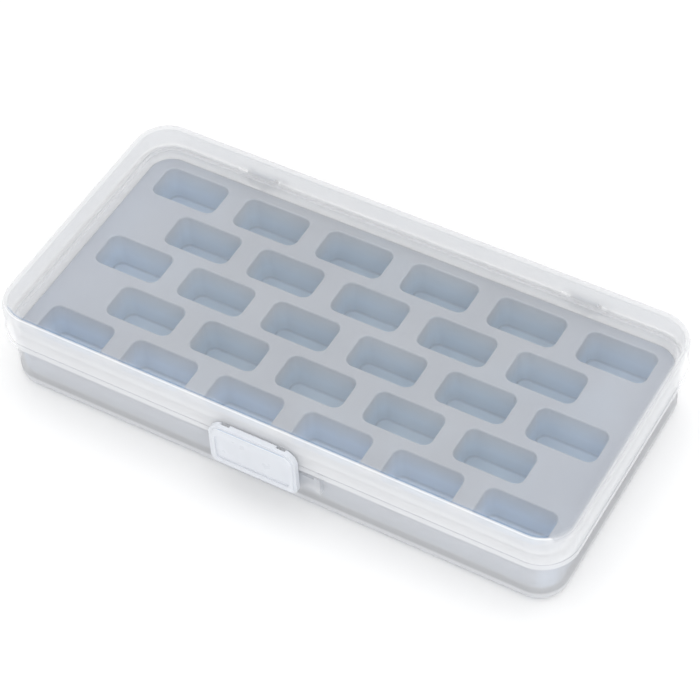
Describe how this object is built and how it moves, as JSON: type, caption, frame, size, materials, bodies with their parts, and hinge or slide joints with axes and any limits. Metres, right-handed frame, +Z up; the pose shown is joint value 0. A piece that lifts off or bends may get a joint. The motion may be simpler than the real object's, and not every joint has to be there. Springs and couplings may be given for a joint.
{
  "type": "bobbin storage box",
  "caption": "Flat translucent storage box with a hinged lid, a front latch and a soft insert with staggered pockets for sewing bobbins.",
  "frame": {"origin": "middle of the footprint, on the plane that the box rests on", "axes": "+X along the long side, to the right as seen from the latch; -Y towards the latch; +Z up"},
  "size_m": [0.1852, 0.0984, 0.0309],
  "materials": {
    "tray_plastic": "frosted translucent polypropylene",
    "lid_plastic": "frosted translucent polypropylene, a little shinier than the tray",
    "latch_plastic": "milky translucent polypropylene",
    "insert_foam": "soft matt blue-grey elastomer"
  },
  "bodies": {
    "base": {"base_tray": "tray_plastic", "bobbin_insert": "insert_foam"},
    "lid": {"lid": "lid_plastic"},
    "latch": {"front_latch": "latch_plastic"}
  },
  "joints": [
    {"name": "lid_hinge", "type": "hinge", "parent": "base", "child": "lid", "pos_m": [0, 0.0479, 0.017], "axis": [-1, 0, 0], "range_deg": [0, 180]},
    {"name": "latch_hinge", "type": "hinge", "parent": "lid", "child": "latch", "pos_m": [-0.002, -0.04685, 0.0243], "axis": [-1, 0, 0], "range_deg": [0, 60]}
  ]
}
